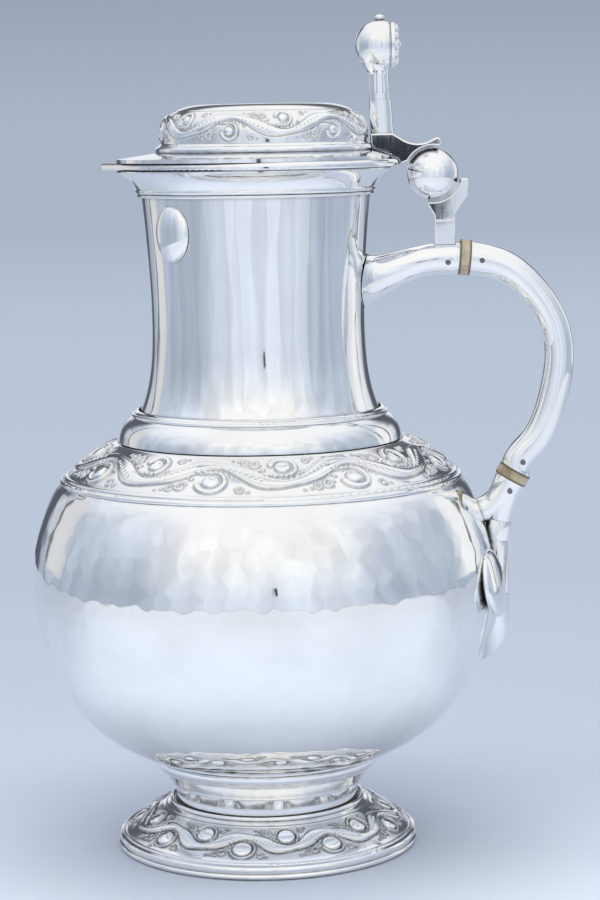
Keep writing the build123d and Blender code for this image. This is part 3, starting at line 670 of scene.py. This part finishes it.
def bone(name, node):
    """Polished bone: cream with brown grain, dark at the ring's two ends by the metal, and painted
    shade where it is closed in.
    """
    material, tree, shader, place = new_material(name)
    co = points_of(node.data)
    centre = (co.min(0) + co.max(0)) / 2
    away = co - centre
    # The tenons' far ends lie to both sides of the middle, evenly round the ring's axis
    far = away[np.linalg.norm(away, axis=1) > 0.9 * np.linalg.norm(away, axis=1).max()]
    axis = (far * np.sign(far @ far[0])[:, None]).mean(0)
    axis /= np.linalg.norm(axis)
    offset = vector_maths(tree, "SUBTRACT", place, centre).outputs["Vector"]
    off_middle = vector_maths(tree, "DOT_PRODUCT", offset, axis).outputs["Value"]
    ends = span(tree, maths(tree, "ABSOLUTE", off_middle, 0.0), 1.05 * MM, 1.85 * MM, 0.0, 0.95)
    cloud = noise(tree, place, 120, 4)
    grain = noise(tree, place, 500, 3, (1, 3, 0.4))
    color = blend_colors(tree, 0.6, ramp(tree, cloud, BONE), ramp(tree, grain, BONE_GRAIN),
                         "MULTIPLY")
    # Painted shade: darker where the bone is closed in, within 1.8 mm
    closed = span(tree, enclosed(tree, 0.0018, 6), 0.45, 0.95, 0.75, 0.0)
    color = blend_colors(tree, maths(tree, "MAXIMUM", closed, ends), color, BONE_END)
    wire(tree, color, shader.inputs["Base Color"])
    wire(tree, span(tree, grain, 0.3, 0.7, 0.28, 0.42), shader.inputs["Roughness"])
    wire(tree, bump(tree, grain, 0.06, 0.5), shader.inputs["Normal"])
    return material


polished = silver("polished_silver", rough=0.075, dents=0.05, scratches=0.0010, patina=0.6)
flat = silver("flat_silver", rough=0.045, dents=0.01, scratches=0.0004, patina=0.5)
plain = silver("planished_silver", rough=0.060, dents=0.02, scratches=0.0008, patina=0.6)
chased = silver("chased_silver", rough=0.060, dents=0.03, scratches=0.0012, patina=1.0,
                crevice=0.0004, closing=0.58)
chased_bright = silver("chased_bright_silver", rough=0.060, dents=0.03, scratches=0.0012,
                       patina=0.65, crevice=0.0004, closing=0.58)
pins = silver("pin_silver", rough=0.16, dents=0.05, scratches=0.0020, patina=0.6, shine=0.22)

for name, node in nodes.items():
    if name.endswith("insulator"):
        look = bone("bone_" + name, node)
    else:
        look = pins if name == "insulator_pins" else polished
    node.data.materials.clear()
    node.data.materials.append(look)


# Body, neck, foot and lid


def cad_line(node, centre_z, outside, step, soft):
    """The profile of a turned solid at even steps, with its doubled points left out."""
    a, p = cad_profile(node, centre_z, outside)
    keep = np.concatenate([[True], np.diff(a) > 2e-4])
    return respaced(p[keep], step, soft)


# Heights about which the outlines of the body and of the neck are read
BODY_MIDDLE = 100.0
NECK_MIDDLE = 200.0
# How far the body's skin lies under the shoulder band
SUNK_UNDER_BAND = 0.75


def build_body():
    """The raised body with its hammered outside, sunk a little under the shoulder band."""
    outer = cad_line("body_bowl", BODY_MIDDLE, True, 0.8 * DRAFT, 0.5)
    inner = cad_line("body_bowl", BODY_MIDDLE, False, 3.0, 0.8)
    outer[:, 0] = np.maximum(outer[:, 0], 0)
    under_band = ((outer[:, 1] > BAND_Z + 1.5) & (outer[:, 0] < BAND_RADIUS - 1.0)
                  & (outer[:, 1] < COLLAR_Z + 1.0))
    eased = np.convolve(under_band.astype(float), np.ones(5) / 5, "same")
    sunk = np.clip(eased, 0, 1) * SUNK_UNDER_BAND
    lip = [(NECK_FOOT_RADIUS, NECK_FOOT_Z), (NECK_FOOT_RADIUS - SHEET, NECK_FOOT_Z)]
    outer = outer[outer[:, 1] < NECK_FOOT_Z - 0.3] if outer[-1, 0] > NECK_FOOT_RADIUS + 1 else outer
    line = np.vstack([[(0.0, outer[0, 1])], outer[1:], lip, inner[::-1][1:-1],
                      [(0.0, inner[0, 1])]])
    count = len(outer)

    def push(angle, dist, r):
        part = slice(0, count)
        lift = np.zeros(angle.shape)
        marks = hammered(angle[:, part], dist[:, part], r[:, part], cell=5.9, tall=5.2,
                         flatten=0.66, radius=BODY_RADIUS, tilt=0.28, seed=5)
        fade = np.clip((r[:, part] - 20) / 10, 0, 1)
        lift[:, part] = marks * fade - sunk[None, :count]
        return lift, np.zeros(angle.shape)

    skin = turned("body_bowl_skin", line, 760 // DRAFT, plain, "vessel", ["body_bowl"], push=push,
                  closed=False)


def chased_on(band, part):
    """The push of a band that starts at the first point of this part of a path."""
    def push(angle, dist, r):
        lift, hollow = np.zeros(angle.shape), np.zeros(angle.shape)
        start = dist[:, part.start:part.start + 1]
        lift[:, part], hollow[:, part] = band.relief(-angle[:, part], dist[:, part] - start)
        return lift, hollow

    return push


def build_shoulder():
    """The chased shoulder band, a thin skin over the body between its wire and the neck collar."""
    end = (NECK_FOOT_RADIUS + 7.9, COLLAR_Z)
    start = (BAND_RADIUS, BAND_Z)
    middle = ((start[0] + end[0]) / 2 + 0.7, (start[1] + end[1]) / 2 + 1.0)
    top = respaced(path(start, (middle, end)), 0.30 * DRAFT, 0)
    under = respaced(path(start, (middle, end)), 3.0, 0)
    under = under + np.array([-0.35, -0.8])
    line = np.vstack([top, under[::-1]])
    band = Band(start=3.6, width=along(top)[-1] - 5.2, repeats=8, height=1.05, depth=0.40,
                shift=SHOULDER_SHIFT, boss=0.155, swing=0.25, radius=62, fine=0.014, soil=0.05)
    skin = turned("shoulder_band", line, 1500 // DRAFT, chased_bright, "vessel", ["body_bowl"],
                  push=chased_on(band, slice(0, len(top))))


def build_neck():
    """The neck with its upright hammer streaks, on a smooth curve fitted to the solid's."""
    p = cad_profile("neck_tube", NECK_MIDDLE, True)[1]
    curved = p[(p[:, 1] > NECK_CURVE_LOW) & (p[:, 1] < NECK_CURVE_TOP)]

    def terms(z):
        """What the curve is made of: a parabola, and two terms for its flare at the foot."""
        h = (z - NECK_CURVE_LOW) / (NECK_CURVE_TOP - NECK_CURVE_LOW)
        return np.stack([np.ones_like(h), h, h * h, np.exp(-h / 0.09), np.exp(-h / 0.18)], 1)

    fit = np.linalg.lstsq(terms(curved[:, 1]), curved[:, 0], rcond=None)[0]
    levels = np.linspace(p[:, 1].min(), p[:, 1].max(), 140 // DRAFT)
    outer_r = terms(np.clip(levels, NECK_CURVE_LOW, NECK_CURVE_TOP)) @ fit
    outer = np.stack([outer_r, levels], 1)
    inner = np.stack([outer_r - SHEET, levels], 1)[::-4]
    line = np.vstack([outer, inner])
    count = len(outer)

    def push(angle, dist, r):
        part = slice(0, count)
        lift = np.zeros(angle.shape)
        marks = hammered(angle[:, part], dist[:, part], r[:, part], cell=4.2, tall=36.0,
                         flatten=0.60, radius=NECK_RADIUS, tilt=0.75, seed=8)
        wide = hammered(angle[:, part], dist[:, part], r[:, part], cell=12.0, tall=75.0,
                        flatten=0.15, radius=NECK_RADIUS, tilt=0.40, seed=9)
        lift[:, part] = marks + wide
        return lift, np.zeros(angle.shape)

    skin = turned("neck_skin", line, 520 // DRAFT, plain, "vessel", ["neck_tube"], push=push)


def build_foot():
    """The spreading foot with its chased band."""
    edge = FOOT_RADIUS - FOOT_RIM_WIDTH + 0.6
    middle = (WAIST_RADIUS + edge) / 2
    rise = WAIST_BOTTOM - 1.0 - FOOT_RIM_HEIGHT
    crown = FOOT_RIM_HEIGHT + 0.61 * rise
    inner = WAIST_RADIUS - SHEET
    top = path((edge, FOOT_RIM_HEIGHT),
               ((middle, crown), (WAIST_RADIUS + 1.2, WAIST_BOTTOM - 1.0)),
               (WAIST_RADIUS, WAIST_BOTTOM), (inner, WAIST_BOTTOM))
    under = path((inner, WAIST_BOTTOM - 1.6), (WAIST_RADIUS + 0.6, WAIST_BOTTOM - 2.3),
                 ((middle - 0.7, crown - 1.2), (edge - 0.7, FOOT_RIM_HEIGHT - 1.1)))
    top, under = respaced(top, 0.28 * DRAFT, 0.12), respaced(under, 1.6, 0.1)
    band = Band(start=1.2, width=15.2, repeats=9, height=0.86, depth=0.34, shift=FOOT_SHIFT,
                boss=0.225, swing=0.20, radius=44, fine=0.021, soil=0.55)
    skin = turned("foot_band", np.vstack([top, under]), 1150 // DRAFT, chased, "vessel",
                  ["foot_flange"], push=chased_on(band, slice(0, len(top))))


def build_waist():
    """The waist's sleeve, drawn in below its flare, so that it mirrors the chased band below."""
    flare_height = 3.8
    inner_r = WAIST_RADIUS - 2 * SHEET
    heights = np.linspace(WAIST_BOTTOM, WAIST_TOP, 29)
    flare = np.clip((heights - WAIST_TOP + flare_height) / flare_height, 0, 1) ** 1.15
    outer = np.stack([WAIST_RADIUS - SHEET + SHEET * flare, heights], 1)
    line = np.vstack([outer, [(inner_r, WAIST_TOP), (inner_r, WAIST_BOTTOM)]])
    skin = turned("foot_waist_skin", line, 288, polished, "vessel", ["foot_waist"])


def build_dome():
    """The lid's dome: a chased upright wall under a plain rounded crown."""
    def half(inset):
        """Half of the dome's profile, this far inside its outer face."""
        r = DOME_RADIUS - inset
        top = DOME_TOP - inset
        line = path((r, PLATE_TOP + 6.5), (r, top - 11.0),
                    ((r - 0.9, top - 7.1), (r - 4.9, top - 3.0)),
                    ((r - 9.4, top - 1.1), (r - 14.8, top - 0.3)))
        rest = [1 - k / 12 for k in range(1, 13)]
        return line + [((r - 14.8) * k, top - 0.3 * k ** 1.6) for k in rest]

    outer = respaced(half(0), 0.26 * DRAFT, 0.12)
    inner = respaced(half(SHEET), 2.5, 0.1)
    outer[-1, 0] = 0
    inner[-1, 0] = 0
    line = np.vstack([inner[::-1], outer])
    band = Band(start=0.4, width=12.6, repeats=6, height=0.80, depth=0.32, shift=LID_SHIFT,
                boss=0.145, swing=0.25, radius=37, fine=0.017, soil=0.16)
    skin = turned("lid_dome_skin", line, 1080 // DRAFT, chased_bright, "lid", ["lid_dome"],
                  DOME_OFFSET, chased_on(band, slice(len(inner), None)), closed=False)


def soften(node, name, body, width):
    """A copy of a part cut from flat plate, with its sharp edges rounded over by width mm."""
    def bend(edge):
        """How far the faces at an edge turn, in degrees, or None at an open edge."""
        return math.degrees(edge.calc_face_angle()) if len(edge.link_faces) == 2 else None

    form = bmesh.new()
    form.from_mesh(nodes[node].data)
    bmesh.ops.remove_doubles(form, verts=form.verts, dist=1e-6)
    bmesh.ops.dissolve_limit(form, angle_limit=math.radians(1.5), verts=form.verts,
                             edges=form.edges)
    sharp = [edge for edge in form.edges if (bend(edge) or 0) > 45]
    bmesh.ops.bevel(form, geom=sharp, offset=width * MM, segments=3, profile=0.5, affect="EDGES",
                    clamp_overlap=False)
    bmesh.ops.triangulate(form, faces=[f for f in form.faces if len(f.verts) > 4])
    for face in form.faces:
        face.smooth = abs(face.normal.y) < 0.999
    for edge in form.edges:
        edge.smooth = bend(edge) is not None and bend(edge) < 38
    mesh = bpy.data.meshes.new(name)
    form.to_mesh(mesh)
    form.free()
    mesh.materials.append(flat)
    piece = add_object(name, mesh)
    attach(piece, body)
    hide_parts(node)


build_body()
build_shoulder()
build_neck()
build_foot()
build_waist()
build_dome()
soften("hinge_arm", "hinge_arm_rounded", "lid", 0.55)
soften("hinge_post", "hinge_post_rounded", "vessel", 0.45)


# Studio


def empty_material(name):
    material = bpy.data.materials.new(name)
    material.use_nodes = True
    material.node_tree.nodes.clear()
    return material, material.node_tree


def finish_tree(tree, kind, shader):
    """Send a shader to the tree's output."""
    out = tree.nodes.new(kind)
    wire(tree, shader, out.inputs["Surface"])


def emitter(name, color, strength, soft):
    """A glow that fades towards a card's upright edges, over this share of its width, and towards
    its top."""
    material, tree = empty_material(name)
    emission = tree.nodes.new("ShaderNodeEmission")
    emission.inputs["Color"].default_value = (*color, 1)
    emission.inputs["Strength"].default_value = strength
    clear = tree.nodes.new("ShaderNodeBsdfTransparent")
    place = tree.nodes.new("ShaderNodeTexCoord")
    split = tree.nodes.new("ShaderNodeSeparateXYZ")
    wire(tree, place.outputs["Generated"], split.inputs["Vector"])
    sides = maths(tree, "MULTIPLY", span(tree, split.outputs["X"], 0.0, soft, 0.0, 1.0),
                  span(tree, split.outputs["X"], 1.0, 1.0 - soft, 0.0, 1.0))
    top = span(tree, split.outputs["Z"], 1.0, 0.8, 0.0, 1.0)
    glow = mix_shaders(tree, maths(tree, "MULTIPLY", sides, top), clear.outputs["BSDF"],
                       emission.outputs["Emission"])
    finish_tree(tree, "ShaderNodeOutputMaterial", glow)
    return material


def card(name, centre, width, height, facing, color, strength=1.0, soft=0.3):
    """An upright studio card that is seen only in the metal."""
    mesh = bpy.data.meshes.new(name)
    w, h = width / 2, height / 2
    mesh.from_pydata([(-w, 0, -h), (w, 0, -h), (w, 0, h), (-w, 0, h)], [], [(0, 1, 2, 3)])
    mesh.materials.append(emitter(name + "_light", color, strength, soft))
    obj = add_object(name, mesh)
    obj.location = centre
    obj.rotation_euler = facing
    obj.visible_camera = False
    obj.visible_diffuse = False
    obj.visible_shadow = False
    obj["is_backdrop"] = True


WHITE = (1.0, 1.0, 1.0)
# Colours of the floor, as a share of the way from in front of the pitcher to far behind it:
# painted light, palest in front where the light falls and greying behind
FLOOR_NEAR, FLOOR_FAR = -0.9, 5.5
BACKDROP = [
    (0.00, (0.83, 0.88, 0.955)), (0.10, (0.80, 0.85, 0.935)), (0.131, (0.735, 0.795, 0.905)),
    (0.152, (0.565, 0.62, 0.735)), (0.178, (0.52, 0.575, 0.69)), (0.22, (0.515, 0.58, 0.705)),
    (0.30, (0.505, 0.57, 0.695)), (0.42, (0.495, 0.56, 0.685)), (0.55, (0.475, 0.54, 0.66)),
    (0.78, (0.435, 0.495, 0.61)), (1.00, (0.405, 0.465, 0.575))]
# Colours of the room by height, from level (0) to straight up (1)
FRONT = [
    (0.0, (0.73, 0.80, 0.91)), (0.10, (0.78, 0.845, 0.95)), (0.28, (0.92, 0.965, 1.0)),
    (0.46, WHITE), (1.0, WHITE)]
BESIDE = [
    (0.0, (0.43, 0.50, 0.61)), (0.10, (0.48, 0.55, 0.66)), (0.30, (0.56, 0.63, 0.75)),
    (0.55, (0.76, 0.81, 0.90)), (0.80, (0.95, 0.97, 1.0)), (1.0, WHITE)]
BEHIND = [
    (0.0, (0.405, 0.465, 0.575)), (0.050, (0.325, 0.375, 0.475)), (0.062, (0.33, 0.385, 0.485)),
    (0.12, (0.84, 0.88, 0.95)), (0.30, (0.90, 0.93, 0.97)), (0.55, (0.97, 0.98, 1.0)), (1.0, WHITE)]
# What is behind as the metal sees it: a bright wall with a dark gap above it
BEHIND_METAL = [
    (0.0, (0.40, 0.46, 0.57)), (0.022, (0.38, 0.44, 0.55)), (0.052, (0.84, 0.88, 0.95)),
    (0.22, (0.86, 0.89, 0.94)), (0.26, (0.13, 0.14, 0.16)), (0.46, (0.13, 0.14, 0.16)),
    (0.56, (0.97, 0.98, 1.0)), (1.0, WHITE)]
# The table's round edge, as far from the pitcher as this, and its shaded side
TABLE_EDGE = 0.92
EDGE_SHADE = (0.30, 0.33, 0.38)


def towards(tree, y, level):
    """How far a direction points to the front and to the back, each from 0 to 1."""
    ahead = maths(tree, "DIVIDE", y, maths(tree, "ADD", level, 0.001))
    return span(tree, ahead, -0.42, -0.86, 0.0, 1.0), span(tree, ahead, 0.70, 0.90, 0.0, 1.0)


def streaks(tree, direction):
    """Soft upright unevenness of the room all round, as a factor near 1."""
    return span(tree, noise(tree, direction, 5.5, 3, (1, 1, 0.22)), 0.35, 0.65, 0.85, 1.12)


def build_floor():
    """A wide pale floor that greys away behind the pitcher, a painted falloff of the light; away
    from the pitcher it glows with its colour for the camera and the metal instead of being lit.
    In what the metal sees, it ends at a table's edge with the room beyond it."""
    mesh = bpy.data.meshes.new("floor")
    n = 96
    rings = [0.0, 0.4, 1.0, 3.0, 12.0, 40.0]
    verts = [(0, 0, 0)]
    for r in rings[1:]:
        verts += [(r * math.cos(TURN * k / n), r * math.sin(TURN * k / n), 0) for k in range(n)]
    faces = [(0, 1 + k, 1 + (k + 1) % n) for k in range(n)]
    for j in range(len(rings) - 2):
        a, b = 1 + j * n, 1 + (j + 1) * n
        faces += [(a + k, b + k, b + (k + 1) % n, a + (k + 1) % n) for k in range(n)]
    mesh.from_pydata(verts, [], faces)
    material, tree = empty_material("floor_paper")
    geometry = tree.nodes.new("ShaderNodeNewGeometry")
    split = tree.nodes.new("ShaderNodeSeparateXYZ")
    wire(tree, geometry.outputs["Position"], split.inputs["Vector"])
    # Painted light: the floor is palest in front of the pitcher and greys away behind it
    depth = span(tree, split.outputs["Y"], FLOOR_NEAR, FLOOR_FAR, 0.0, 1.0)
    color = ramp(tree, depth, BACKDROP)
    reach = vector_maths(tree, "LENGTH", geometry.outputs["Position"]).outputs["Value"]
    far = span(tree, reach, 0.16, 0.55, 0.0, 1.0)
    rays = tree.nodes.new("ShaderNodeLightPath")
    unit = vector_maths(tree, "NORMALIZE", geometry.outputs["Position"])
    front, back = towards(tree, split.outputs["Y"], reach)
    room = blend_colors(tree, front, BESIDE[0][1], FRONT[0][1])
    room = blend_colors(tree, 1.0, room, streaks(tree, unit.outputs["Vector"]), "MULTIPLY")
    edge = span(tree, reach, TABLE_EDGE + 0.03, TABLE_EDGE + 0.07, 1.0, 0.0)
    room = blend_colors(tree, edge, room, EDGE_SHADE)
    beyond = span(tree, reach, TABLE_EDGE, TABLE_EDGE + 0.02, 0.0, 1.0)
    beyond = maths(tree, "MULTIPLY", beyond, rays.outputs["Is Glossy Ray"])
    beyond = maths(tree, "MULTIPLY", beyond, maths(tree, "SUBTRACT", 1.0, back))
    room = blend_colors(tree, beyond, color, room)
    seen = maths(tree, "MAXIMUM", rays.outputs["Is Camera Ray"], rays.outputs["Is Glossy Ray"])
    seen = maths(tree, "MAXIMUM", seen, rays.outputs["Is Transmission Ray"])
    shadow = span(tree, enclosed(tree, 0.10), 0.35, 0.95, 0.76, 1.0)
    diffuse = tree.nodes.new("ShaderNodeBsdfDiffuse")
    wire(tree, blend_colors(tree, 1.0, color, shadow, "MULTIPLY"), diffuse.inputs["Color"])
    # Painted light: away from the pitcher the floor glows instead of being lit, for the camera and
    # the metal
    glow = tree.nodes.new("ShaderNodeEmission")
    wire(tree, room, glow.inputs["Color"])
    glow.inputs["Strength"].default_value = 1.0
    paper = mix_shaders(tree, maths(tree, "MULTIPLY", seen, far), diffuse.outputs["BSDF"],
                        glow.outputs["Emission"])
    finish_tree(tree, "ShaderNodeOutputMaterial", paper)
    mesh.materials.append(material)
    floor = add_object("floor", mesh)
    floor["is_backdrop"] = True


def build_world():
    """A room that is grey-blue behind and beside, with a large soft light high in front."""
    world = bpy.data.worlds.new("studio")
    bpy.context.scene.world = world
    world.use_nodes = True
    tree = world.node_tree
    tree.nodes.clear()
    place = tree.nodes.new("ShaderNodeTexCoord")
    split = tree.nodes.new("ShaderNodeSeparateXYZ")
    wire(tree, place.outputs["Generated"], split.inputs["Vector"])
    x, y, z = (split.outputs[k] for k in "XYZ")
    level = maths(tree, "ADD", maths(tree, "MULTIPLY", x, x), maths(tree, "MULTIPLY", y, y))
    front, back = towards(tree, y, maths(tree, "SQRT", level, 0.5))
    rays = tree.nodes.new("ShaderNodeLightPath")
    rear = blend_colors(tree, rays.outputs["Is Camera Ray"], ramp(tree, z, BEHIND_METAL),
                        ramp(tree, z, BEHIND))
    mix = blend_colors(tree, back, ramp(tree, z, BESIDE), rear)
    mix = blend_colors(tree, front, mix, ramp(tree, z, FRONT))
    light = tree.nodes.new("ShaderNodeBackground")
    wire(tree, mix, light.inputs["Color"])
    uneven = maths(tree, "SUBTRACT", streaks(tree, place.outputs["Generated"]), 1.0)
    uneven = maths(tree, "MULTIPLY", uneven, span(tree, z, 0.45, 0.75, 1.0, 0.0))
    uneven = maths(tree, "MULTIPLY", uneven, maths(tree, "SUBTRACT", 1.0, back))
    wire(tree, maths(tree, "ADD", uneven, 1.0), light.inputs["Strength"])
    finish_tree(tree, "ShaderNodeOutputWorld", light.outputs["Background"])


def area_lamp(name, place, aim, width, height, power, color=(1, 1, 1)):
    """A softbox, which lights the floor and the bone but isn't seen in the metal."""
    data = bpy.data.lights.new(name, "AREA")
    data.shape = "RECTANGLE"
    data.size = width
    data.size_y = height
    data.energy = power
    data.color = color
    lamp = add_object(name, data)
    lamp.location = place
    lamp.rotation_euler = (Vector(aim) - Vector(place)).to_track_quat("-Z", "Y").to_euler()
    lamp.visible_glossy = False


def panel(name, azimuth, width, low, top, tone, strength=1.0, away=0.95):
    """An upright card, azimuth degrees round from straight in front, to the right."""
    a = math.radians(azimuth)
    place = (away * math.sin(a), -away * math.cos(a), (low + top) / 2)
    card(name, place, width, top - low, (0, 0, a), tone, strength)


WHITE_CARD = (0.97, 0.985, 1.0)
LEFT_FLAG = (0.12, 0.13, 0.15)
RIGHT_FLAG = (0.14, 0.14, 0.15)
REAR_FLAG = (0.10, 0.11, 0.14)
CAMERA_TONE = (0.022, 0.026, 0.04)

build_floor()
build_world()
area_lamp("softbox_left", (-1.1, -0.7, 1.3), (0, 0, 0.15), 1.2, 0.9, 5, (0.98, 0.99, 1.0))
area_lamp("softbox_right", (1.2, -0.2, 1.1), (0, 0, 0.15), 0.8, 1.0, 2.4, (1.0, 0.99, 0.97))
area_lamp("softbox_top", (0.0, 0.5, 1.6), (0, 0, 0.1), 1.4, 0.8, 4)
panel("white_right", 124, 0.66, 0.02, 0.80, WHITE_CARD, strength=0.95, away=1.15)
panel("white_left", -124, 0.56, 0.05, 0.80, WHITE_CARD, strength=0.72, away=1.15)
panel("flag_left", -131, 0.045, 0.0, 0.95, LEFT_FLAG)
panel("flag_left_rear", -151, 0.42, 0.0, 0.95, REAR_FLAG)
panel("flag_right", 128, 0.060, 0.0, 0.95, RIGHT_FLAG)
panel("flag_right_rear", 152, 0.38, 0.0, 0.95, REAR_FLAG)
# What the flat faces of the hinge mirror: the dark things round the camera
FACING = (0, 0, 0)
card("camera_shade_low", (0.1165, -0.96, 0.204), 0.022, 0.019, FACING, CAMERA_TONE, soft=0.08)
card("camera_shade", (0.088, -0.96, 0.231), 0.074, 0.080, FACING, CAMERA_TONE, soft=0.12)

# The camera, as fitted to the photograph
CAMERA_PLACE = (0.01452, -0.9284, 0.2670)
CAMERA_LENS = 101.4
CAMERA_SENSOR = 36
pitch = math.radians(7.375)
roll = math.radians(0.984)
right, forward = Vector((1, 0, 0)), Vector((0, math.cos(pitch), -math.sin(pitch)))
up = Vector((0, math.sin(pitch), math.cos(pitch)))
side = math.cos(roll) * right - math.sin(roll) * up
head = math.cos(roll) * up + math.sin(roll) * right
turn = Matrix((side, head, -forward)).transposed()
camera_data = bpy.data.cameras.new("camera")
camera_data.sensor_width = CAMERA_SENSOR
camera_data.lens = CAMERA_LENS
camera = add_object("camera", camera_data)
camera.matrix_world = Matrix.Translation(CAMERA_PLACE) @ turn.to_4x4()
bpy.context.scene.camera = camera
bpy.context.scene.view_settings.view_transform = "Standard"


def plain_numbers(value):
    """Nested corners as plain lists of numbers."""
    return [plain_numbers(v) for v in value] if hasattr(value, "__len__") else float(value)


{"cad": plain_numbers(cad_bounds), "visual": plain_numbers(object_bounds())}
